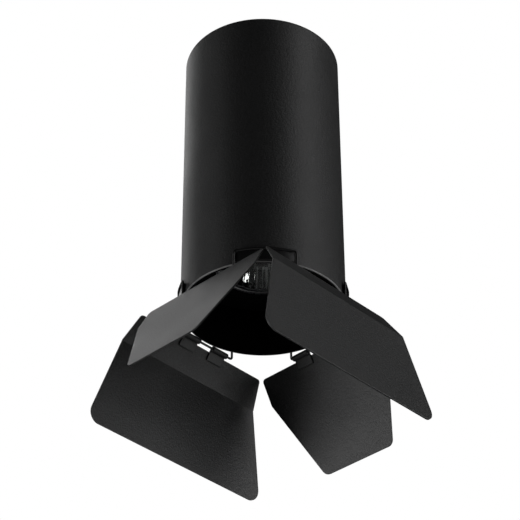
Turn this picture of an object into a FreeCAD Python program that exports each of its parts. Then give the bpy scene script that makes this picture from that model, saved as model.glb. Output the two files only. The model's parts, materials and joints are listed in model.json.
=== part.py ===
"""Ceiling spotlight with a four-leaf barn door attachment.

A black tube hangs from a ceiling bracket and holds a recessed GU10 lamp. A
spring wire frame hooks over four small plates on the tube's lower end, and its
four straight rods carry four sheet leaves on rolled clips: two wide leaves with
a folded flap, and two tapered leaves between them.

Millimetres, +Z up. The origin is the middle of the ceiling face of the bracket.
"""
import FreeCAD, Part
import math
import os

V = FreeCAD.Vector

# ---- driving sizes -------------------------------------------------------
TUBE_R = 42.0              # outer radius of the housing tube
TUBE_WALL = 1.5
TUBE_LENGTH = 161.5
CEILING_GAP = 1.0          # shadow gap between the ceiling and the tube
TUBE_BORE = TUBE_R - TUBE_WALL
TUBE_TOP = -CEILING_GAP
RIM = TUBE_TOP - TUBE_LENGTH          # height of the open lower rim

# ceiling bracket
BRACKET_R = 38.0
BRACKET_T = 1.5
EAR_WIDTH = 14.0
EAR_DROP = 17.0
EAR_X = 38.6               # inner face of each turned-down ear
SIDE_SCREW_Z = -10.0
SLOT_SPACING = 56.0        # between the two ceiling screw slots
SLOT_R = 2.3
SLOT_LENGTH = 12.0         # between the slot's end centres
CABLE_HOLE_R = 7.0
GROMMET_BORE_R = 4.0

# terminal block and leads
TERMINAL_X = 22.0
TERMINAL_HALF = (8.0, 15.0)
TERMINAL_TOP = -BRACKET_T
TERMINAL_HEIGHT = 13.0
TERMINAL_LOW = TERMINAL_TOP - TERMINAL_HEIGHT
POLES = (-9.5, 0.0, 9.5)
CLAMP_X = 4.5              # from the block's middle to each clamp screw
EARTH_X = -22.0
LEAD_R = 0.9
LEAD_BENDS = (5.5, 30.0, 5.0)   # centre-line radius of each bend, from the top
LEAD_X = 5.0
LEAD_Z = TERMINAL_TOP - 8.0

# lamp, measured up from the rim
LAMP_FACE = RIM + 27.0
LAMP_R = 25.0
MOUTH_R = 21.3
BAFFLE_FACE = RIM + 27.5
BAFFLE_OPENING_R = 26.0
BAFFLE_T = 1.0
HOLDER_FACE = RIM + 74.1
HOLDER_HEIGHT = 21.0
BRIDGE_T = 1.2
BRIDGE_WIDTH = 20.0
BRIDGE_LEG_X = 33.0
BRIDGE_TOP = HOLDER_FACE + HOLDER_HEIGHT + BRIDGE_T

# barn door attachment
WIRE_R = 0.6
WIRE_BEND = 1.6            # centre-line radius of every sharp bend
LEG_OFFSET = 40.6          # centre line of each hook's legs, from the axis
HOOK_HALF = 15.5           # half the distance between a hook's two legs
HOOK_BOW = TUBE_R + 0.3 + WIRE_R      # centre line of the hook's bowed middle
BOW_HALF = 6.0
BOW_BEND = 20.0
HOOK_TOP = RIM + 7.3
ROD_Z = RIM - 3.4
ROD_OFFSET = (LEG_OFFSET + HOOK_HALF) / math.sqrt(2)

PLATE_HALF = 14.6
PLATE_T = 0.8
PLATE_LOW = RIM + 0.8
PLATE_HEIGHT = 5.6
PLATE_MIDDLE = PLATE_LOW + PLATE_HEIGHT / 2
PLATE_BACK = TUBE_R + 0.15
BOSS_R = 1.5               # weld boss behind the plate's middle

LEAF_T = 0.8
LEAF_GAP = 2.07            # from the rod's centre to the leaf's hinge edge
CLIP_T = 0.85
CLIP_BORE = WIRE_R + 0.05
CLIP_OUTER = CLIP_BORE + CLIP_T
CLIP_WIDTH = 10.2
CLIP_SPREAD = 9.8          # from the leaf's middle to each clip's middle
CLIP_TAB = 4.3             # length of tab lying on the leaf
CLIP_END = 10.0            # degrees from the leaf's direction to the roll's end
LEAF_INNER = CLIP_OUTER    # inner face of a leaf, measured from the rod
CORNER_HINGE = 2.0
BEND_INNER = 1.0

# half widths at the hinge edge, at the fold and at the outer edge
WIDE = {"hinge": 42.7, "fold": 47.1, "outer": 60.4,
        "strip": 16.3, "flap": 48.3, "bend": 24.67, "corner": 6.0}
TAPERED = {"hinge": 39.66, "fold": 39.75, "outer": 22.5,
           "strip": 14.94, "flap": 45.4, "corner": 4.2}

# name, shape, direction round the tube, angle from straight down, side play
LEAVES = [
    ("wide_front", WIDE, -45.0, 32.9, -0.1),
    ("tapered_left", TAPERED, -135.0, 28.35, 1.2),
    ("wide_back", WIDE, 135.0, 34.75, 1.2),
    ("tapered_right", TAPERED, 45.0, 29.3, 1.2),
]


# ---- helpers -------------------------------------------------------------
def cylinder(radius, low, high, x=0.0, y=0.0):
    return Part.makeCylinder(radius, high - low, V(x, y, low))


def ring(outer, inner, low, high, x=0.0, y=0.0):
    return cylinder(outer, low, high, x, y).cut(cylinder(inner, low - 1, high + 1, x, y))


def block(x0, x1, y0, y1, z0, z1):
    return Part.makeBox(x1 - x0, y1 - y0, z1 - z0, V(x0, y0, z0))


def turned(edges):
    """Solid of revolution about Z from edges in the XZ plane."""
    face = Part.Face(Part.Wire(edges))
    return face.revolve(V(0, 0, 0), V(0, 0, 1), 360)


def line(a, b):
    return Part.LineSegment(V(a[0], 0, a[1]), V(b[0], 0, b[1])).toShape()


def arc(a, b, c):
    return Part.Arc(V(a[0], 0, a[1]), V(b[0], 0, b[1]), V(c[0], 0, c[1])).toShape()


def polyline(points):
    return [line(a, b) for a, b in zip(points, points[1:])]


def corner(before, at, after, radius):
    """Ends and middle of the arc that rounds one corner of a path."""
    a = (before - at).normalize()
    b = (after - at).normalize()
    half = a.getAngle(b) / 2
    reach = radius / math.tan(half)
    middle = (a + b).normalize()
    centre = at + middle * (radius / math.sin(half))
    return at + a * reach, centre - middle * radius, at + b * reach, centre


def rounded_plate(corners, thickness, low):
    """Flat plate in XY with each corner given as (x, y, radius)."""
    points = [V(x, y, low) for x, y, _ in corners]
    count = len(points)
    ends = []
    for i, (_, _, radius) in enumerate(corners):
        ends.append(corner(points[i - 1], points[i], points[(i + 1) % count], radius))
    edges = []
    for i, (start, middle, end, _) in enumerate(ends):
        edges.append(Part.Arc(start, middle, end).toShape())
        edges.append(Part.LineSegment(end, ends[(i + 1) % count][0]).toShape())
    return Part.Face(Part.Wire(edges)).extrude(V(0, 0, thickness))


def around(shape, degrees):
    copy = shape.copy()
    copy.rotate(V(0, 0, 0), V(0, 0, 1), degrees)
    return copy


def pan_screw(shank_r, shank, head_r, head):
    """Screw along Z: head above z = 0, shank below, cross slot in the head."""
    body = cylinder(shank_r, -shank, 0).fuse(cylinder(head_r, 0, head))
    slot = block(-head_r * 0.7, head_r * 0.7, -0.3, 0.3, head * 0.45, head + 1)
    return body.cut(slot).cut(around(slot, 90)).removeSplitter()


def placed(shape, x, y, z, flip=False):
    copy = shape.copy()
    if flip:
        copy.rotate(V(0, 0, 0), V(1, 0, 0), 180)
    copy.translate(V(x, y, z))
    return copy


# ---- housing -------------------------------------------------------------
def housing_tube():
    body = ring(TUBE_R, TUBE_BORE, RIM, TUBE_TOP)
    rims = [e for e in body.Edges if abs(e.BoundBox.ZLength) < 0.01
            and abs(e.BoundBox.XLength - 2 * TUBE_R) < 0.01]
    body = body.makeFillet(0.5, rims)
    for side in (0, 180):
        drill = Part.makeCylinder(1.7, 12, V(TUBE_R - 8, 0, SIDE_SCREW_Z), V(1, 0, 0))
        sink = Part.makeCone(1.5, 3.1, 1.6, V(TUBE_R - 1.55, 0, SIDE_SCREW_Z), V(1, 0, 0))
        body = body.cut(around(drill.fuse(sink), side))
    return body


def ceiling_bracket():
    plate = cylinder(BRACKET_R, -BRACKET_T, 0)
    ears = []
    for side in (0, 180):
        half = EAR_WIDTH / 2
        flange = block(BRACKET_R - 4, EAR_X + BRACKET_T, -half, half, -BRACKET_T, 0)
        ear = block(EAR_X, EAR_X + BRACKET_T, -half, half, -EAR_DROP, 0)
        tapped = Part.makeCylinder(1.5, 6, V(EAR_X - 2, 0, SIDE_SCREW_Z), V(1, 0, 0))
        ears.append(around(flange.fuse(ear).cut(tapped), side))
    body = plate.multiFuse(ears)
    inside_tube = cylinder(TUBE_BORE - 0.3, -EAR_DROP - 1, 1)
    body = body.common(inside_tube)
    for side in (1, -1):
        body = body.cut(ceiling_slot(side * SLOT_SPACING / 2))
    for radius, x in ((CABLE_HOLE_R, 0), (1.6, TERMINAL_X), (1.9, EARTH_X)):
        body = body.cut(cylinder(radius, -5, 1, x, 0))
    return body.removeSplitter()


def ceiling_slot(y):
    half = SLOT_LENGTH / 2
    ends = [cylinder(SLOT_R, -5, 1, 0, y + side * half) for side in (-1, 1)]
    middle = block(-SLOT_R, SLOT_R, y - half, y + half, -5, 1)
    return middle.multiFuse(ends)


def side_screw():
    """Countersunk M3 screw lying along X, flush with the tube."""
    outer = TUBE_R - 0.1
    shank = Part.makeCylinder(1.45, 6.0, V(outer - 7.2, 0, SIDE_SCREW_Z), V(1, 0, 0))
    head = Part.makeCone(1.45, 2.8, 1.35, V(outer - 1.35, 0, SIDE_SCREW_Z), V(1, 0, 0))
    slot = block(outer - 0.6, outer + 1, -0.35, 0.35, SIDE_SCREW_Z - 1.9, SIDE_SCREW_Z + 1.9)
    return shank.fuse(head).cut(slot)


def side_screws():
    return Part.makeCompound([around(side_screw(), a) for a in (0, 180)])


def cable_grommet():
    body = ring(CABLE_HOLE_R + 2, GROMMET_BORE_R, -BRACKET_T - 1.6, -BRACKET_T)
    return body.fuse(ring(CABLE_HOLE_R, GROMMET_BORE_R, -BRACKET_T, 0)).removeSplitter()


# ---- wiring --------------------------------------------------------------
def terminal_block():
    hx, hy = TERMINAL_HALF
    x0 = TERMINAL_X - hx
    body = block(x0, x0 + 2 * hx, -hy, hy, TERMINAL_LOW, TERMINAL_TOP)
    for y in (-4.75, 4.75):
        groove = block(x0 - 1, x0 + 2 * hx + 1, y - 0.6, y + 0.6, TERMINAL_LOW - 1, TERMINAL_LOW + 4)
        body = body.cut(groove)
    for y in POLES:
        body = body.cut(Part.makeCylinder(1.7, 2 * hx + 2, V(x0 - 1, y, LEAD_Z), V(1, 0, 0)))
        for x in (-CLAMP_X, CLAMP_X):
            body = body.cut(cylinder(1.6, TERMINAL_LOW - 1, LEAD_Z, TERMINAL_X + x, y))
    return body.cut(cylinder(1.6, TERMINAL_LOW - 1, TERMINAL_TOP + 1, TERMINAL_X, 0))


def terminal_inserts():
    hx = TERMINAL_HALF[0]
    x0 = TERMINAL_X - hx
    inserts = []
    for y in POLES:
        sleeve = Part.makeCylinder(1.65, 2 * hx - 3, V(x0 + 1.5, y, LEAD_Z), V(1, 0, 0))
        bore = Part.makeCylinder(1.1, 2 * hx, V(x0, y, LEAD_Z), V(1, 0, 0))
        sleeve = sleeve.cut(bore)
        if y == 0.0:
            sleeve = sleeve.cut(cylinder(1.7, LEAD_Z - 4, LEAD_Z + 4, TERMINAL_X, y))
        inserts.extend(sleeve.Solids)
    return Part.makeCompound(inserts)


def terminal_clamp_screws():
    """Slotted grub screws that stand under the brass inserts."""
    top = LEAD_Z - 1.75
    screws = []
    for y in POLES:
        for x in (TERMINAL_X - CLAMP_X, TERMINAL_X + CLAMP_X):
            slot = block(x - 1.5, x + 1.5, y - 0.3, y + 0.3, top - 4, top - 2.2)
            screws.append(cylinder(1.45, top - 3, top, x, y).cut(slot))
    return Part.makeCompound(screws)


def terminal_fixing_screw():
    screw = pan_screw(1.45, TERMINAL_HEIGHT + BRACKET_T - 0.5, 2.7, 1.8)
    return placed(screw, TERMINAL_X, 0, TERMINAL_LOW, True)


def earth_screw():
    screw = pan_screw(1.85, 6.0 + BRACKET_T - 0.5, 3.5, 2.4)
    return placed(screw, EARTH_X, 0, -BRACKET_T - 6.0, True)


def earth_clamp():
    """Square clamp washer and nut plate under the bracket."""
    nut = block(EARTH_X - 4, EARTH_X + 4, -4, 4, -BRACKET_T - 3.2, -BRACKET_T)
    washer = block(EARTH_X - 4, EARTH_X + 4, -4, 4, -BRACKET_T - 6.0, -BRACKET_T - 5.2)
    hole = cylinder(1.9, -BRACKET_T - 7, 1, EARTH_X, 0)
    return Part.makeCompound([nut.cut(hole), washer.cut(hole)])


def bent_rod(points, bends, radius):
    """Round rod along a path of straight runs joined by tangent arcs."""
    pieces = []
    start = points[0]
    for before, at, after, bend in zip(points, points[1:], points[2:], bends):
        enter, _, leave, centre = corner(before, at, after, bend)
        pieces.append(straight_rod(start, enter, radius))
        pieces.append(rod_bend(enter, leave, centre, at - before, radius))
        start = leave
    pieces.append(straight_rod(start, points[-1], radius))
    return pieces[0].multiFuse(pieces[1:]).removeSplitter()


def straight_rod(a, b, radius):
    run = b - a
    return Part.makeCylinder(radius, run.Length, a, run)


def rod_bend(enter, leave, centre, direction, radius):
    disc = Part.Face(Part.Wire(Part.makeCircle(radius, enter, direction)))
    first = enter - centre
    second = leave - centre
    axis = first.cross(second)
    return disc.revolve(centre, axis, math.degrees(first.getAngle(second)))


def lampholder_lead(side):
    """Insulated lead from the terminal block to one side of the lampholder."""
    x0 = TERMINAL_X - TERMINAL_HALF[0] + 0.5
    drop = HOLDER_FACE + HOLDER_HEIGHT - 7.0
    y0 = side * POLES[2]
    route = [V(x0, y0, LEAD_Z), V(LEAD_X, y0, LEAD_Z),
             V(LEAD_X, side * 16.0, (LEAD_Z + drop) / 2),
             V(LEAD_X, side * 16.0, drop), V(LEAD_X, side * 7.2, drop)]
    return bent_rod(route, LEAD_BENDS, LEAD_R)


# ---- lamp and its carrier ------------------------------------------------
def baffle_ring():
    disc = ring(TUBE_BORE - 0.1, BAFFLE_OPENING_R, BAFFLE_FACE, BAFFLE_FACE + BAFFLE_T)
    skirt = ring(TUBE_BORE - 0.1, TUBE_BORE - 1.1, BAFFLE_FACE, BAFFLE_FACE + 10.0)
    body = disc.fuse(skirt)
    for side in (1, -1):
        body = body.cut(cylinder(1.6, BAFFLE_FACE - 1, BAFFLE_FACE + 2, side * 36.0, 0))
    return body.removeSplitter()


def lamp_bridge():
    """U-shaped strap that stands on the baffle ring and holds the lampholder."""
    half = BRIDGE_WIDTH / 2
    low = BAFFLE_FACE + BAFFLE_T
    top = block(-BRIDGE_LEG_X, BRIDGE_LEG_X, -half, half, BRIDGE_TOP - BRIDGE_T, BRIDGE_TOP)
    parts = []
    for side in (1, -1):
        x = sorted((side * BRIDGE_LEG_X, side * (BRIDGE_LEG_X - BRIDGE_T)))
        parts.append(block(x[0], x[1], -half, half, low, BRIDGE_TOP))
        foot = sorted((side * (BRIDGE_LEG_X - BRIDGE_T), side * 38.0))
        parts.append(block(foot[0], foot[1], -half, half, low, low + BRIDGE_T))
    body = top.multiFuse(parts).removeSplitter()
    inside_skirt = cylinder(TUBE_BORE - 1.4, low, BRIDGE_TOP)
    body = body.common(inside_skirt)
    for side in (1, -1):
        body = body.cut(cylinder(1.6, low - 1, low + 3, side * 36.0, 0))
        body = body.cut(cylinder(1.6, BRIDGE_TOP - 3, BRIDGE_TOP + 1, side * 11.0, 0))
    return body


def bridge_screws():
    screw = pan_screw(1.45, BAFFLE_T + BRIDGE_T + 2.0, 2.7, 1.8)
    return Part.makeCompound([placed(screw, x, 0, BAFFLE_FACE, True) for x in (36.0, -36.0)])


def lampholder():
    top = HOLDER_FACE + HOLDER_HEIGHT
    body = block(-16, 16, -9, 9, HOLDER_FACE, top)
    uprights = [e for e in body.Edges if e.BoundBox.ZLength > HOLDER_HEIGHT - 1]
    body = body.makeFillet(4.0, uprights)
    for x in (-5, 5):
        body = body.cut(cylinder(2.9, HOLDER_FACE - 1, HOLDER_FACE + 8, x, 0))
        turn = block(x - 2.9, x + 2.9, 0, 5, HOLDER_FACE + 3.2, HOLDER_FACE + 8)
        body = body.cut(turn)
    for side in (1, -1):
        body = body.cut(cylinder(1.5, top - 8, top + 1, side * 11.0, 0))
        inlet = Part.makeCylinder(LEAD_R + 0.1, 2.0, V(LEAD_X, side * 7.0, top - 7.0), V(0, side, 0))
        body = body.cut(inlet)
    return body


def lampholder_screws():
    screw = pan_screw(1.45, BRIDGE_T + 6.5, 2.7, 1.8)
    return Part.makeCompound([placed(screw, x, 0, BRIDGE_TOP) for x in (11.0, -11.0)])


def lamp_reflector():
    z = LAMP_FACE
    outer = polyline([(MOUTH_R + 1.0, z), (LAMP_R, z), (LAMP_R, z + 2.6), (23.6, z + 4.0)])
    outer.append(arc((23.6, z + 4.0), (19.4, z + 18.0), (11.5, z + 33.5)))
    neck = polyline([(11.5, z + 33.5), (6.0, z + 33.5), (6.0, z + 31.5), (9.6, z + 31.5)])
    inner = [arc((9.6, z + 31.5), (17.6, z + 17.0), (MOUTH_R, z + 1.8))]
    seat = polyline([(MOUTH_R, z + 1.8), (MOUTH_R + 1.0, z + 1.8), (MOUTH_R + 1.0, z)])
    return turned(outer + neck + inner + seat)


def lamp_front_glass():
    return cylinder(MOUTH_R + 0.95, LAMP_FACE + 0.3, LAMP_FACE + 1.75)


def lamp_capsule():
    low = LAMP_FACE + 12.0
    body = cylinder(4.5, low + 4.5, LAMP_FACE + 31.0)
    dome = Part.makeSphere(4.5, V(0, 0, low + 4.5))
    pinch = block(-3.8, 3.8, -1.4, 1.4, LAMP_FACE + 31.0, LAMP_FACE + 36.0)
    return body.multiFuse([dome, pinch]).removeSplitter()


def lamp_base():
    z = LAMP_FACE
    body = cylinder(12.4, z + 33.6, z + 38.0).fuse(cylinder(11.0, z + 38.0, HOLDER_FACE - 0.4))
    body = body.cut(block(-5, 5, -2.5, 2.5, z + 33, z + 37.0))
    flats = block(-14, 14, -9.0, 9.0, z + 40.0, HOLDER_FACE)
    lower = cylinder(13, z + 33, z + 40.0)
    return body.common(flats.fuse(lower)).removeSplitter()


def lamp_pins():
    pins = []
    for x in (-5, 5):
        stem = cylinder(1.6, HOLDER_FACE - 0.4, HOLDER_FACE + 4.0, x, 0)
        head = cylinder(2.5, HOLDER_FACE + 4.0, HOLDER_FACE + 6.6, x, 0)
        pins.append(stem.fuse(head))
    return Part.makeCompound(pins)


# ---- barn door attachment ------------------------------------------------
def retaining_plate():
    """Plate on the +X side, curved like the tube, on a small boss welded to the tube."""
    outer = PLATE_BACK + PLATE_T
    plate = ring(outer, PLATE_BACK, PLATE_LOW, PLATE_LOW + PLATE_HEIGHT).common(
        block(0, outer + 1, -PLATE_HALF, PLATE_HALF, PLATE_LOW - 1, PLATE_LOW + PLATE_HEIGHT + 1))
    corners = [e for e in plate.Edges if max(e.BoundBox.YLength, e.BoundBox.ZLength) < 0.01]
    plate = plate.makeFillet(1.0, corners)
    front = [e for e in plate.Edges if on_cylinder(e, outer)]
    plate = plate.makeFillet(0.3, front)
    boss = Part.makeCylinder(BOSS_R, 2.0, V(PLATE_BACK - 1.5, 0, PLATE_MIDDLE), V(1, 0, 0))
    tube = cylinder(TUBE_R, PLATE_LOW - 1, PLATE_LOW + PLATE_HEIGHT + 1)
    return plate.fuse(boss).cut(tube).removeSplitter()


def on_cylinder(edge, radius):
    """True if the edge lies on the upright cylinder of this radius about the axis."""
    middle = edge.valueAt((edge.FirstParameter + edge.LastParameter) / 2)
    return abs(math.hypot(middle.x, middle.y) - radius) < 0.01


def wire_corners():
    """Corner points of the wire and the bend radius at each one."""
    half_hook = [(LEG_OFFSET, HOOK_HALF, ROD_Z, WIRE_BEND),
                 (LEG_OFFSET, HOOK_HALF, HOOK_TOP, WIRE_BEND),
                 (HOOK_BOW, BOW_HALF, HOOK_TOP, BOW_BEND)]
    hook = [(r, -side, z, bend) for r, side, z, bend in half_hook] + half_hook[::-1]
    corners = []
    for quarter in range(4):
        turn = math.radians(90 * quarter)
        out = V(math.cos(turn), math.sin(turn), 0)
        along = V(-math.sin(turn), math.cos(turn), 0)
        for r, side, z, bend in hook:
            corners.append((out * r + along * side + V(0, 0, z), bend))
    return corners


def hinge_wire_frame():
    """One closed spring wire: four hinge rods and four hooks over the plates."""
    corners = wire_corners()
    points = [point for point, _ in corners]
    count = len(points)
    bends = [corner(points[i - 1], points[i], points[(i + 1) % count], corners[i][1])
             for i in range(count)]
    pieces = []
    for i, (enter, _, leave, centre) in enumerate(bends):
        pieces.append(rod_bend(enter, leave, centre, points[i] - points[i - 1], WIRE_R))
        pieces.append(straight_rod(leave, bends[(i + 1) % count][0], WIRE_R))
    return pieces[0].multiFuse(pieces[1:]).removeSplitter()


def leaf_placement(direction, angle, play):
    """Local X along the rod, Y down the leaf, Z out of its outer face."""
    turn = math.radians(direction)
    tilt = math.radians(angle)
    out = V(math.cos(turn), math.sin(turn), 0)
    along = V(-math.sin(turn), math.cos(turn), 0)
    down = out * math.sin(tilt) - V(0, 0, math.cos(tilt))
    face = out * math.cos(tilt) + V(0, 0, math.sin(tilt))
    at = out * ROD_OFFSET + V(0, 0, ROD_Z) + along * play
    rod = along * -1
    return FreeCAD.Placement(FreeCAD.Matrix(rod.x, down.x, face.x, at.x,
                                            rod.y, down.y, face.y, at.y,
                                            rod.z, down.z, face.z, at.z,
                                            0, 0, 0, 1))


def set_down(shape, placement):
    copy = shape.copy()
    copy.Placement = placement.multiply(copy.Placement)
    return copy


def wide_leaf(size):
    """Strip, bend and flap of a wide leaf, flat strip in the local XY plane."""
    bend = math.radians(size["bend"])
    reach = (BEND_INNER + LEAF_T / 2) * math.tan(bend / 2)
    fold = LEAF_GAP + size["strip"] - reach
    end = fold + size["flap"] - reach
    tiny = 0.05
    strip = rounded_plate([(-size["hinge"], LEAF_GAP, CORNER_HINGE),
                           (size["hinge"], LEAF_GAP, CORNER_HINGE),
                           (size["fold"], fold, tiny),
                           (-size["fold"], fold, tiny)], LEAF_T, LEAF_INNER)
    flap = rounded_plate([(-size["fold"], fold, tiny),
                          (size["fold"], fold, tiny),
                          (size["outer"], end, size["corner"]),
                          (-size["outer"], end, size["corner"])], LEAF_T, LEAF_INNER)
    hub = V(0, fold, LEAF_INNER - BEND_INNER)
    flap.rotate(hub, V(1, 0, 0), -size["bend"])
    half = size["fold"] - tiny
    section = Part.makePolygon([V(-half, fold, LEAF_INNER), V(half, fold, LEAF_INNER),
                                V(half, fold, LEAF_INNER + LEAF_T),
                                V(-half, fold, LEAF_INNER + LEAF_T), V(-half, fold, LEAF_INNER)])
    knee = Part.Face(section).revolve(hub, V(-1, 0, 0), size["bend"])
    return strip.multiFuse([knee, flap]).removeSplitter()


def tapered_leaf(size):
    fold = LEAF_GAP + size["strip"]
    end = fold + size["flap"]
    return rounded_plate([(-size["hinge"], LEAF_GAP, CORNER_HINGE),
                          (size["hinge"], LEAF_GAP, CORNER_HINGE),
                          (size["fold"], fold, CORNER_HINGE),
                          (size["outer"], end, size["corner"]),
                          (-size["outer"], end, size["corner"]),
                          (-size["fold"], fold, CORNER_HINGE)], LEAF_T, LEAF_INNER)


def leaf_clip(side):
    """Strip rolled round the rod; its tab lies on the leaf's inner face."""
    start = side * CLIP_SPREAD - CLIP_WIDTH / 2
    tab_end = LEAF_GAP + CLIP_TAB
    turn = math.radians(CLIP_END)

    def at(y, z):
        return V(start, y, z)

    def roll(radius, first, last):
        return Part.Arc(first, at(-radius, 0), last).toShape()

    def run(first, last):
        return Part.LineSegment(first, last).toShape()

    top = at(0, CLIP_OUTER)
    inner_top = at(0, CLIP_BORE)
    outer_end = at(CLIP_OUTER * math.cos(turn), CLIP_OUTER * math.sin(turn))
    inner_end = at(CLIP_BORE * math.cos(turn), CLIP_BORE * math.sin(turn))
    edges = [run(top, at(tab_end, CLIP_OUTER)),
             run(at(tab_end, CLIP_OUTER), at(tab_end, CLIP_BORE)),
             run(at(tab_end, CLIP_BORE), inner_top),
             roll(CLIP_BORE, inner_top, inner_end),
             run(inner_end, outer_end),
             roll(CLIP_OUTER, outer_end, top)]
    return Part.Face(Part.Wire(edges)).extrude(V(CLIP_WIDTH, 0, 0))


# ---- export --------------------------------------------------------------
def all_nodes():
    nodes = {
        "housing_tube": housing_tube(),
        "ceiling_bracket": ceiling_bracket(),
        "bracket_side_screws": side_screws(),
        "cable_grommet": cable_grommet(),
        "terminal_block": terminal_block(),
        "terminal_inserts": terminal_inserts(),
        "terminal_clamp_screws": terminal_clamp_screws(),
        "terminal_fixing_screw": terminal_fixing_screw(),
        "earth_clamp": earth_clamp(),
        "earth_screw": earth_screw(),
        "lampholder_lead_live": lampholder_lead(-1),
        "lampholder_lead_neutral": lampholder_lead(1),
        "baffle_ring": baffle_ring(),
        "lamp_bridge": lamp_bridge(),
        "bridge_screws": bridge_screws(),
        "lampholder": lampholder(),
        "lampholder_screws": lampholder_screws(),
        "lamp_reflector": lamp_reflector(),
        "lamp_front_glass": lamp_front_glass(),
        "lamp_capsule": lamp_capsule(),
        "lamp_base": lamp_base(),
        "lamp_pins": lamp_pins(),
        "hinge_wire_frame": hinge_wire_frame(),
    }
    for name, degrees in (("right", 0), ("back", 90), ("left", 180), ("front", 270)):
        nodes["retaining_plate_" + name] = around(retaining_plate(), degrees)
    for name, size, direction, angle, play in LEAVES:
        place = leaf_placement(direction, angle, play)
        leaf = wide_leaf(size) if size is WIDE else tapered_leaf(size)
        nodes["leaf_" + name] = set_down(leaf, place)
        for tag, side in (("a", 1), ("b", -1)):
            nodes["clip_" + name + "_" + tag] = set_down(leaf_clip(side), place)
    return nodes


def main():
    os.makedirs("parts", exist_ok=True)
    for name, shape in all_nodes().items():
        shape.exportStep("parts/" + name + ".step")


main()
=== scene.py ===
"""Looks, light and camera for the ceiling spotlight with a barn door attachment."""
import json
import math

import bpy
import bmesh
from mathutils import Matrix, Vector


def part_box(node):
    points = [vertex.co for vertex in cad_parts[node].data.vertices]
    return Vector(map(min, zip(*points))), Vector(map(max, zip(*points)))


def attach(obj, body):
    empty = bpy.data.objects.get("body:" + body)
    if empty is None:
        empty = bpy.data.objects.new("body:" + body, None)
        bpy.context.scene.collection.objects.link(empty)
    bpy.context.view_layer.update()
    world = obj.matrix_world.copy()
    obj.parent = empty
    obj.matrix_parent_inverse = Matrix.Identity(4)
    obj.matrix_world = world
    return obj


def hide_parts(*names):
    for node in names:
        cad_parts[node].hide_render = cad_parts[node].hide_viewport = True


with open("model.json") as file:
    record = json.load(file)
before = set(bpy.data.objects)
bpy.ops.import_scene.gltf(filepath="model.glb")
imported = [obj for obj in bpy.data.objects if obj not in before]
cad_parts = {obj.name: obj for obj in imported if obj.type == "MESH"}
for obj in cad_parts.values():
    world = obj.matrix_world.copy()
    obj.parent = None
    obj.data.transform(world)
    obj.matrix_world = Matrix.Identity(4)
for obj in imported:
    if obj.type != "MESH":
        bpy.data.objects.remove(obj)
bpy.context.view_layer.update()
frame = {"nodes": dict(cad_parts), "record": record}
NODES = frame["nodes"]
MM = 0.001
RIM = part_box("housing_tube")[0].z


# ---- material helpers ----------------------------------------------------
# the mix node has one set of sockets per data type; these are the ones for colours
MIX_SHARE, MIX_UNDER, MIX_OVER, MIX_RESULT = 0, 6, 7, 2


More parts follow.
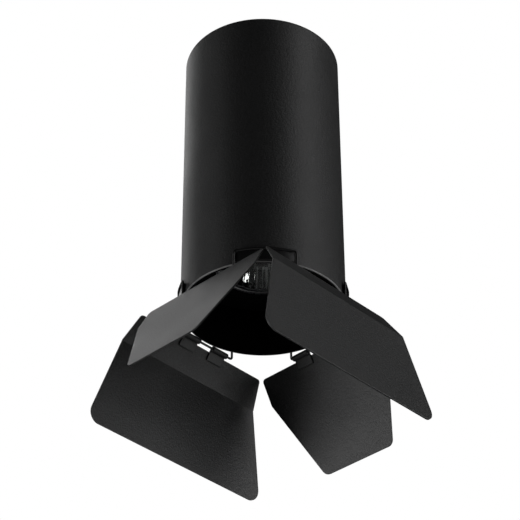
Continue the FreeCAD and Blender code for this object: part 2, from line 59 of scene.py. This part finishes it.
class Tree:
    """A new node material with its Principled shader and output."""

    def __init__(self, name):
        self.material = bpy.data.materials.new(name)
        self.material.use_nodes = True
        self.nodes = self.material.node_tree.nodes
        self.links = self.material.node_tree.links
        self.nodes.clear()
        self.output = self.nodes.new("ShaderNodeOutputMaterial")
        self.shader = self.add("ShaderNodeBsdfPrincipled")
        self.link(self.shader, "BSDF", self.output, "Surface")
        self.place = self.nodes.new("ShaderNodeTexCoord")

    def add(self, kind, **values):
        node = self.nodes.new(kind)
        for key, value in values.items():
            node.inputs[key.replace("_", " ")].default_value = value
        return node

    def link(self, source, output, target, socket):
        self.links.new(source.outputs[output], target.inputs[socket])

    def set(self, **values):
        for key, value in values.items():
            self.shader.inputs[key.replace("_", " ")].default_value = value

    def noise(self, size, detail=2.0, rough=0.5):
        """Noise whose features are about size metres across."""
        node = self.add("ShaderNodeTexNoise", Scale=1.0 / size, Detail=detail, Roughness=rough)
        self.link(self.place, "Object", node, "Vector")
        return node

    def ramp(self, source, output, stops):
        node = self.nodes.new("ShaderNodeValToRGB")
        marks = node.color_ramp.elements
        while len(marks) < len(stops):
            marks.new(0.5)
        for mark, (at, colour) in zip(marks, stops):
            mark.position = at
            mark.color = (*colour, 1.0)
        self.link(source, output, node, "Fac")
        return node

    def range(self, source, output, low, high, to_low, to_high):
        node = self.add("ShaderNodeMapRange", From_Min=low, From_Max=high,
                        To_Min=to_low, To_Max=to_high)
        self.link(source, output, node, "Value")
        return node

    def rounded_edges(self, radius):
        """Normal that turns round sharp edges, so they catch a thin line of light."""
        node = self.add("ShaderNodeBevel", Radius=radius)
        node.samples = 6
        return node

    def edge_mask(self, bevel, sharpness):
        """One along sharp edges and zero on the flat."""
        geometry = self.nodes.new("ShaderNodeNewGeometry")
        turned = self.nodes.new("ShaderNodeVectorMath")
        turned.operation = "DOT_PRODUCT"
        self.link(bevel, "Normal", turned, 0)
        self.link(geometry, "True Normal", turned, 1)
        return self.range(turned, "Value", 1.0 - sharpness, 1.0 - sharpness / 8, 1.0, 0.0)

    def openness(self, distance):
        """One on open faces, falling towards zero in narrow gaps, for painted shade there."""
        node = self.add("ShaderNodeAmbientOcclusion", Distance=distance)
        node.samples = 8
        return self.range(node, "AO", 0.25, 0.85, 0.0, 1.0)

    def within(self, radius, softness):
        """One nearer than radius to the upright axis and zero beyond it."""
        flat = self.nodes.new("ShaderNodeVectorMath")
        flat.operation = "MULTIPLY"
        flat.inputs[1].default_value = (1.0, 1.0, 0.0)
        self.link(self.place, "Object", flat, 0)
        length = self.nodes.new("ShaderNodeVectorMath")
        length.operation = "LENGTH"
        self.link(flat, "Vector", length, 0)
        return self.range(length, "Value", radius, radius + softness, 1.0, 0.0)

    def below(self, height, softness):
        """One under the given height and zero above it."""
        split = self.nodes.new("ShaderNodeSeparateXYZ")
        self.link(self.place, "Object", split, "Vector")
        return self.range(split, "Z", height, height + softness, 1.0, 0.0)

    def blend(self, mask, source, output, colour):
        """Colour mixed over the source where the mask is one."""
        node = self.nodes.new("ShaderNodeMix")
        node.data_type = "RGBA"
        node.inputs[MIX_OVER].default_value = (*colour, 1.0)
        self.link(mask, "Result", node, MIX_SHARE)
        self.link(source, output, node, MIX_UNDER)
        return node

    def combine(self, operation, first, second):
        """Arithmetic on two values; second is a plain number or a node's Result."""
        node = self.nodes.new("ShaderNodeMath")
        node.operation = operation
        node.use_clamp = True
        self.link(first, 0, node, 0)
        if isinstance(second, float):
            node.inputs[1].default_value = second
        else:
            self.link(second, 0, node, 1)
        return node

    def bump(self, source, output, strength, distance, after=None):
        node = self.add("ShaderNodeBump", Strength=strength, Distance=distance)
        self.link(source, output, node, "Height")
        if after is not None:
            self.link(after, "Normal", node, "Normal")
        return node


def grey(value, warm=0.0):
    return (value * (1 + warm), value, value * (1 - warm))


EDGE_ROUND = 0.35 * MM
EDGE_SHARPNESS = 0.12
EDGE_SMOOTHING = 0.22                 # taken off the roughness on edges
GAP_SIZE = 2.0 * MM
RIM_SOFTNESS = 0.1 * MM
# painted shade of the tube's inside: its grey, and the share of gloss taken off there
INSIDE_SOFTNESS = 0.3 * MM
INSIDE_SHADE_GREY = 0.0015
INSIDE_DULLING = 0.42                 # taken off the gloss inside the tube


def powder_coat(name, dark, light, rough, grain, depth, painted_edge_grey=0.09, gloss=0.5, shaded_inside_radius=None,
                rim=None):
    """Fine-textured black powder coat: small orange peel, specks and slow variation.

    The coat is smoother on sharp edges, where the grey given for edges is a painted highlight
    (a painted dark outline where it is below the coat's grey), or only below the height rim if that
    is given. Gaps get painted shade: their gloss is turned down. Within the given inside radius it
    is matt and nearly black, a painted shade of the tube's inside.
    """
    tree = Tree(name)
    peel = tree.noise(grain, 3.0, 0.6)
    specks = tree.noise(grain * 0.55, 1.0)
    slow = tree.noise(0.035, 3.0)
    bevel = tree.rounded_edges(EDGE_ROUND)
    if rim is None:
        edge = tree.edge_mask(bevel, EDGE_SHARPNESS)
    else:
        edge = tree.below(rim, RIM_SOFTNESS)
    painted_gap_shade = tree.openness(GAP_SIZE)
    coat = tree.ramp(specks, "Fac", [(0.30, grey(dark)), (0.72, grey(light, -0.02))])
    # painted highlight: edges take the edge grey, lighter than the coat (darker for clip_coat, a
    # painted dark outline)
    colour = tree.blend(edge, coat, "Color", grey(painted_edge_grey))
    level = tree.range(slow, "Fac", 0.3, 0.7, rough - 0.03, rough + 0.03)
    smoother = tree.combine("MULTIPLY", edge, EDGE_SMOOTHING)
    level = tree.combine("SUBTRACT", level, smoother)
    # painted shade: the gloss falls in narrow gaps
    shine = tree.combine("MULTIPLY", painted_gap_shade, gloss)
    # painted shade: inside the tube the coat is made nearly black and its gloss is cut
    if shaded_inside_radius is not None:
        inside = tree.within(shaded_inside_radius, INSIDE_SOFTNESS)
        colour = tree.blend(inside, colour, MIX_RESULT, grey(INSIDE_SHADE_GREY))
        covered = tree.combine("MULTIPLY", inside, INSIDE_DULLING)
        shine = tree.combine("SUBTRACT", shine, covered)
    tree.link(colour, MIX_RESULT, tree.shader, "Base Color")
    tree.link(level, "Value", tree.shader, "Roughness")
    tree.link(shine, "Value", tree.shader, "Specular IOR Level")
    fine = tree.bump(specks, "Fac", 0.5, depth * 0.6, bevel)
    coarse = tree.bump(peel, "Fac", 0.6, depth, fine)
    tree.link(coarse, "Normal", tree.shader, "Normal")
    return tree


def metal(name, colour, rough, size=0.0006):
    """Bare metal with a fine grain in its tint and sharpness."""
    tree = Tree(name)
    tree.set(Metallic=1.0)
    grain = tree.noise(size, 3.0, 0.6)
    tint = tree.ramp(grain, "Fac", [(0.3, [c * 0.86 for c in colour]), (0.7, colour)])
    tree.link(tint, "Color", tree.shader, "Base Color")
    level = tree.range(grain, "Fac", 0.3, 0.7, rough - 0.05, rough + 0.07)
    tree.link(level, "Result", tree.shader, "Roughness")
    skin = tree.bump(grain, "Fac", 0.15, 0.00002)
    tree.link(skin, "Normal", tree.shader, "Normal")
    return tree


def mirror(name, colour):
    """Aluminised glass: smooth, with slow changes of tint and sharpness."""
    tree = Tree(name)
    tree.set(Metallic=1.0)
    slow = tree.noise(0.004, 2.0)
    tint = tree.ramp(slow, "Fac", [(0.3, [c * 0.92 for c in colour]), (0.7, colour)])
    tree.link(tint, "Color", tree.shader, "Base Color")
    level = tree.range(slow, "Fac", 0.3, 0.7, 0.04, 0.08)
    tree.link(level, "Result", tree.shader, "Roughness")
    return tree


def plain(name, colour, rough, size, depth, spread=0.12):
    """Unpainted plastic, rubber or ceramic; spread is how far its tint varies."""
    tree = Tree(name)
    grain = tree.noise(size, 3.0, 0.55)
    tint = tree.ramp(grain, "Fac", [(0.3, [c * (1 - spread) for c in colour]), (0.7, colour)])
    tree.link(tint, "Color", tree.shader, "Base Color")
    level = tree.range(grain, "Fac", 0.3, 0.7, rough - 0.06, rough + 0.06)
    tree.link(level, "Result", tree.shader, "Roughness")
    skin = tree.bump(grain, "Fac", 0.3, depth)
    tree.link(skin, "Normal", tree.shader, "Normal")
    return tree


def clear(name, tint, rough):
    """Clear glass that lets the lamps' light through."""
    tree = Tree(name)
    tree.set(Base_Color=(*tint, 1.0), IOR=1.46, Transmission_Weight=1.0)
    haze = tree.noise(0.004, 3.0)
    level = tree.range(haze, "Fac", 0.3, 0.7, rough, rough + 0.01)
    tree.link(level, "Result", tree.shader, "Roughness")
    path = tree.nodes.new("ShaderNodeLightPath")
    through = tree.nodes.new("ShaderNodeBsdfTransparent")
    through.inputs["Color"].default_value = (*tint, 1.0)
    mix = tree.nodes.new("ShaderNodeMixShader")
    tree.link(path, "Is Shadow Ray", mix, "Fac")
    tree.link(tree.shader, "BSDF", mix, 1)
    tree.link(through, "BSDF", mix, 2)
    tree.link(mix, "Shader", tree.output, "Surface")
    return tree


WALL_MIDDLE = 41.2 * MM               # a radius between the two faces of the tube's wall
ROUNDED_RIM = RIM + 0.5 * MM          # top of the tube's rounded lower edge


def all_materials():
    return {
        # the edge grey paints a highlight along edges and along the housing's rounded rim; on
        # clip_coat it paints a dark outline
        "housing_coat": powder_coat("housing_coat", 0.009, 0.025, 0.50, 0.0011, 0.00032,
                                    painted_edge_grey=0.20, shaded_inside_radius=WALL_MIDDLE, rim=ROUNDED_RIM),
        "leaf_coat": powder_coat("leaf_coat", 0.010, 0.030, 0.50, 0.0011, 0.00032),
        "clip_coat": powder_coat("clip_coat", 0.008, 0.022, 0.48, 0.0008, 0.00010, painted_edge_grey=0.002),
        "wire_coat": powder_coat("wire_coat", 0.006, 0.010, 0.30, 0.0006, 0.00002, painted_edge_grey=0.02),
        "plate_coat": powder_coat("plate_coat", 0.004, 0.008, 0.34, 0.0006, 0.00003, painted_edge_grey=0.02),
        "baffle_coat": powder_coat("baffle_coat", 0.001, 0.003, 0.80, 0.0008, 0.00004, painted_edge_grey=0.003,
                                   gloss=0.08),
        "zinc_steel": metal("zinc_steel", (0.62, 0.64, 0.67), 0.34, 0.0025),
        "screw_steel": metal("screw_steel", (0.60, 0.60, 0.60), 0.30),
        "black_screw": powder_coat("black_screw", 0.010, 0.018, 0.34, 0.0004, 0.00001),
        "grommet_rubber": plain("grommet_rubber", (0.020, 0.020, 0.021), 0.66, 0.0005, 0.00003),
        "terminal_body": plain("terminal_body", (0.82, 0.81, 0.76), 0.42, 0.0012, 0.00003, 0.05),
        "terminal_brass": metal("terminal_brass", (0.78, 0.60, 0.28), 0.26),
        "lead_silicone": plain("lead_silicone", (0.78, 0.76, 0.70), 0.52, 0.0008, 0.00003, 0.06),
        "ceramic": plain("ceramic", (0.83, 0.81, 0.76), 0.46, 0.0005, 0.00004, 0.06),
        "reflector": mirror("reflector", (0.80, 0.80, 0.79)),
        "reflector_back": plain("reflector_back", (0.030, 0.030, 0.032), 0.30, 0.0010, 0.00001),
        "front_glass": clear("front_glass", (0.96, 0.98, 0.98), 0.02),
        "quartz": clear("quartz", (0.97, 0.97, 0.95), 0.02),
        "pin_nickel": metal("pin_nickel", (0.70, 0.69, 0.66), 0.22),
        "filament": metal("filament", (0.45, 0.44, 0.43), 0.35),
    }


MATERIALS = all_materials()
for row in frame["record"]["subparts"]:
    for slot in NODES[row["node"]].material_slots:
        slot.material = MATERIALS[row["material_slot"]].material


# ---- mesh helpers --------------------------------------------------------
def piece(name, mesh_builder, material, body="housing"):
    """A new object from a bmesh, riding on a CAD body."""
    shape = bmesh.new()
    mesh_builder(shape)
    mesh = bpy.data.meshes.new(name)
    shape.to_mesh(mesh)
    shape.free()
    thing = bpy.data.objects.new(name, mesh)
    bpy.context.scene.collection.objects.link(thing)
    mesh.materials.append(MATERIALS[material].material)
    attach(thing, body)
    return thing


def circle_arc(a, b, c, steps):
    """Points along the circle through a, b and c, from a to c, in the (r, z) plane."""
    (ax, ay), (bx, by), (cx, cy) = a, b, c
    scale = 2 * (ax * (by - cy) + bx * (cy - ay) + cx * (ay - by))
    a_squared, b_squared, c_squared = ax * ax + ay * ay, bx * bx + by * by, cx * cx + cy * cy
    middle_r = (a_squared * (by - cy) + b_squared * (cy - ay) + c_squared * (ay - by)) / scale
    middle_z = (a_squared * (cx - bx) + b_squared * (ax - cx) + c_squared * (bx - ax)) / scale
    start = math.atan2(ay - middle_z, ax - middle_r)
    end = math.atan2(cy - middle_z, cx - middle_r)
    turn = (end - start + math.pi) % (2 * math.pi) - math.pi
    radius = math.hypot(ax - middle_r, ay - middle_z)
    points = []
    for i in range(steps + 1):
        angle = start + turn * i / steps
        points.append((middle_r + radius * math.cos(angle), middle_z + radius * math.sin(angle)))
    return points


def skin(shape, rings, inward=False):
    """Smooth faces between each ring of points and the next, facing out or in."""
    for low, high in zip(rings, rings[1:]):
        for i in range(len(low)):
            j = (i + 1) % len(low)
            corners = (low[i], low[j], high[j], high[i])
            if inward:
                corners = corners[:1] + corners[:0:-1]
            shape.faces.new(corners).smooth = True


def revolve(shape, profile, columns):
    """Surface of revolution about Z from (r, z) points in metres."""
    rings = []
    for r, z in profile:
        ring = []
        for i in range(columns):
            angle = 2 * math.pi * i / columns
            ring.append(shape.verts.new((r * math.cos(angle), r * math.sin(angle), z)))
        rings.append(ring)
    skin(shape, rings)


# ---- lamp ----------------------------------------------------------------
LAMP_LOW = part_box("lamp_reflector")[0].z
FLUTES = 36
FLUTE_CELLS = 6                       # faces across one flute
FLUTE_DEPTH = 0.13 * MM
ARC_STEPS = 14
SHELL_COLUMNS = 120
CAPSULE_COLUMNS = 32
NOSE_ANGLES = (0.05, 0.4, 0.8, 1.2)   # radians from straight down
NOSE_MIDDLE = 16.5


def at(r, z):
    """Point r from the axis and z above the lamp's face, both given in millimetres."""
    return (r * MM, LAMP_LOW + z * MM)


def fluted_wall(shape, rows, depth):
    """Bright inner wall of the lamp: tall flutes, each bulging towards the axis."""
    step = 2 * math.pi / FLUTES
    columns = FLUTES * FLUTE_CELLS
    rings = []
    for r, z in rows:
        ring = []
        for i in range(columns):
            angle = step * i / FLUTE_CELLS
            across = 2 * (i % FLUTE_CELLS) / FLUTE_CELLS - 1
            bulge = depth * (r / rows[0][0]) * (1 - across * across)
            ring.append(shape.verts.new(((r - bulge) * math.cos(angle),
                                         (r - bulge) * math.sin(angle), z)))
        rings.append(ring)
    skin(shape, rings, inward=True)


def build_reflector(shape):
    """Fluted bright wall inside a plain shell with a rounded front ring."""
    inner = circle_arc(at(21.3, 1.8), at(16.8, 14.5), at(8.5, 25.5), ARC_STEPS)
    fluted_wall(shape, inner, FLUTE_DEPTH)
    outer = circle_arc(at(11.5, 33.5), at(19.4, 18.0), at(23.6, 4.0), ARC_STEPS)
    shell = [at(8.5, 25.5), at(6.0, 25.5), at(6.0, 33.5)] + outer
    shell += [at(25.0, 2.6), at(25.0, 0.35), at(24.65, 0.0), at(22.6, 0.0), at(22.3, 0.3),
              at(22.3, 1.8), at(21.3, 1.8)]
    mirrored = len(shape.faces)
    revolve(shape, shell, SHELL_COLUMNS)
    shape.faces.ensure_lookup_table()
    for face in shape.faces[mirrored:]:
        face.material_index = 1


reflector = piece("lamp_reflector_faceted", build_reflector, "reflector")
reflector.data.materials.append(MATERIALS["reflector_back"].material)
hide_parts("lamp_reflector")


def capsule_nose(radius):
    """Rounded lower end of the capsule."""
    return [at(radius * math.sin(a), NOSE_MIDDLE - radius * math.cos(a)) for a in NOSE_ANGLES]


def build_capsule(shape):
    """Outer and inner wall of the hollow quartz capsule."""
    outside = capsule_nose(4.5) + [at(4.5, NOSE_MIDDLE), at(4.5, 29.5), at(3.9, 30.7), at(2.4, 31.4),
                                   at(2.2, 36.0)]
    inside = capsule_nose(3.6) + [at(3.6, NOSE_MIDDLE), at(3.6, 28.6), at(2.2, 29.6), at(0.05, 29.8)]
    revolve(shape, outside, CAPSULE_COLUMNS)
    revolve(shape, inside[::-1], CAPSULE_COLUMNS)


capsule = piece("lamp_capsule_shell", build_capsule, "quartz")
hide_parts("lamp_capsule")


def tube(shape, path, radius, sides=8):
    """Round wire through points given in millimetres above the lamp's face."""
    rings = []
    for i, spot in enumerate(path):
        ahead = path[min(i + 1, len(path) - 1)] - path[max(i - 1, 0)]
        turn = ahead.to_track_quat("Z", "Y")
        ring = []
        for k in range(sides):
            angle = 2 * math.pi * k / sides
            offset = turn @ Vector((radius * math.cos(angle), radius * math.sin(angle), 0))
            ring.append(shape.verts.new((spot + offset) * MM + Vector((0, 0, LAMP_LOW))))
        rings.append(ring)
    skin(shape, rings)
    shape.faces.new(rings[0][::-1])
    shape.faces.new(rings[-1])


def build_filament(shape):
    """Coiled tungsten wire with its two support legs."""
    turns, steps, low, high, radius = 11, 14, 17.5, 25.5, 0.9
    wire, leg, top = 0.12, 0.16, 29.5
    path = []
    for i in range(turns * steps + 1):
        angle = 2 * math.pi * i / steps
        path.append(Vector((radius * math.cos(angle), radius * math.sin(angle),
                            low + (high - low) * i / (turns * steps))))
    tube(shape, path, wire)
    for x, start, rise in ((2.2, low, 0.4), (-1.6, high, 1.2)):
        tube(shape, [Vector((radius, 0, start)), Vector((x, 0, start + rise)),
                     Vector((x, 0, top))], leg)


piece("lamp_filament", build_filament, "filament")


# ---- stage, light and camera ---------------------------------------------
FLOOR_SIZE = 9.0
FLOOR_Z = -1.75


def floor():
    """Pale floor that glows for the camera only, so it adds no light of its own."""
    bpy.ops.mesh.primitive_plane_add(size=FLOOR_SIZE, location=(0, 0, FLOOR_Z))
    plane = bpy.context.object
    plane.name = "floor"
    tree = Tree("floor_paint")
    grain = tree.noise(0.02, 3.0)
    tint = tree.ramp(grain, "Fac", [(0.3, grey(0.80)), (0.7, grey(0.84))])
    tree.link(tint, "Color", tree.shader, "Base Color")
    tree.set(Roughness=0.8)
    tree.link(tint, "Color", tree.shader, "Emission Color")
    path = tree.nodes.new("ShaderNodeLightPath")
    tree.link(path, "Is Camera Ray", tree.shader, "Emission Strength")
    plane.data.materials.append(tree.material)


AIM = Vector((0.0, 0.0, -0.12))       # the point that every soft box faces
BOX_SIZE = 0.8
BOX_DISTANCE = 1.8
# name, degrees round from the camera's side (positive to the right), elevation, power in watts
SOFTBOXES = [
    ("right_high", 60, 35, 5),
    ("right_level", 90, 5, 6),
    ("right_low", 75, -20, 10),
    ("left_high", -75, 30, 2),
    ("left_low", -80, -25, 13),
    ("left_back", -145, 45, 4),
]
# the same, for the two boxes that light only the lamp's reflector
LAMP_BOXES = [
    ("lamp_glint_left", -155, -48, 7),
    ("lamp_glint_right", 145, -46, 9),
]


def softbox(name, azimuth, elevation, power):
    """Square area light that faces AIM, hidden from the camera."""
    turn, rise = math.radians(azimuth), math.radians(elevation)
    towards = Vector((math.sin(turn) * math.cos(rise), -math.cos(turn) * math.cos(rise),
                      math.sin(rise)))
    lamp = bpy.data.lights.new(name, "AREA")
    lamp.size = BOX_SIZE
    lamp.energy = power
    thing = bpy.data.objects.new(name, lamp)
    thing.location = AIM + towards * BOX_DISTANCE
    thing.rotation_mode = "QUATERNION"
    thing.rotation_quaternion = towards.to_track_quat("Z", "Y")
    thing.visible_camera = False
    bpy.context.scene.collection.objects.link(thing)
    return thing


def lights():
    """Soft boxes for the whole object, then those that the reflector alone receives."""
    bright_parts = bpy.data.collections.new("lamp_bright_parts")
    bright_parts.objects.link(reflector)
    for row in SOFTBOXES:
        softbox(*row)
    for row in LAMP_BOXES:
        softbox(*row).light_linking.receiver_collection = bright_parts


AMBIENT = 0.003                       # strength of the surroundings as a light


def surroundings():
    """White to look at, dim as a light."""
    world = bpy.data.worlds.new("studio")
    bpy.context.scene.world = world
    world.use_nodes = True
    nodes, links = world.node_tree.nodes, world.node_tree.links
    nodes.clear()
    output = nodes.new("ShaderNodeOutputWorld")
    seen = nodes.new("ShaderNodeBackground")
    light = nodes.new("ShaderNodeBackground")
    for node, strength in ((seen, 1.0), (light, AMBIENT)):
        node.inputs["Color"].default_value = (1, 1, 1, 1)
        node.inputs["Strength"].default_value = strength
    path = nodes.new("ShaderNodeLightPath")
    mix = nodes.new("ShaderNodeMixShader")
    links.new(path.outputs["Is Camera Ray"], mix.inputs["Fac"])
    links.new(light.outputs["Background"], mix.inputs[1])
    links.new(seen.outputs["Background"], mix.inputs[2])
    links.new(mix.outputs["Shader"], output.inputs["Surface"])
    bpy.context.scene.view_settings.view_transform = "Standard"


# the photo's own camera, worked out from the tube's outline and the leaves' corners
CAMERA_PLACE = Vector((-0.0210, -0.8024, -0.7162))
CAMERA_AHEAD = Vector((0.0196, 0.8089, 0.5876))
CAMERA_ROLL = math.radians(-0.25)
LENS = 133.5                          # millimetres, on a sensor 36 mm wide
SENSOR = 36.0
SHIFT_UP = 0.007


def camera():
    """Long lens looking up at the object from below."""
    data = bpy.data.cameras.new("view")
    data.lens = LENS
    data.sensor_width = SENSOR
    data.shift_y = SHIFT_UP
    data.clip_start = 0.01
    data.clip_end = 50.0
    ahead = CAMERA_AHEAD.normalized()
    level = ahead.cross(Vector((0, 0, 1))).normalized()
    up = level.cross(ahead)
    across = level * math.cos(CAMERA_ROLL) + up * math.sin(CAMERA_ROLL)
    upward = up * math.cos(CAMERA_ROLL) - level * math.sin(CAMERA_ROLL)
    pose = Matrix((across, upward, -ahead)).transposed().to_4x4()
    pose.translation = CAMERA_PLACE
    thing = bpy.data.objects.new("view", data)
    thing.matrix_world = pose
    bpy.context.scene.collection.objects.link(thing)
    bpy.context.scene.camera = thing


floor()
lights()
surroundings()
camera()
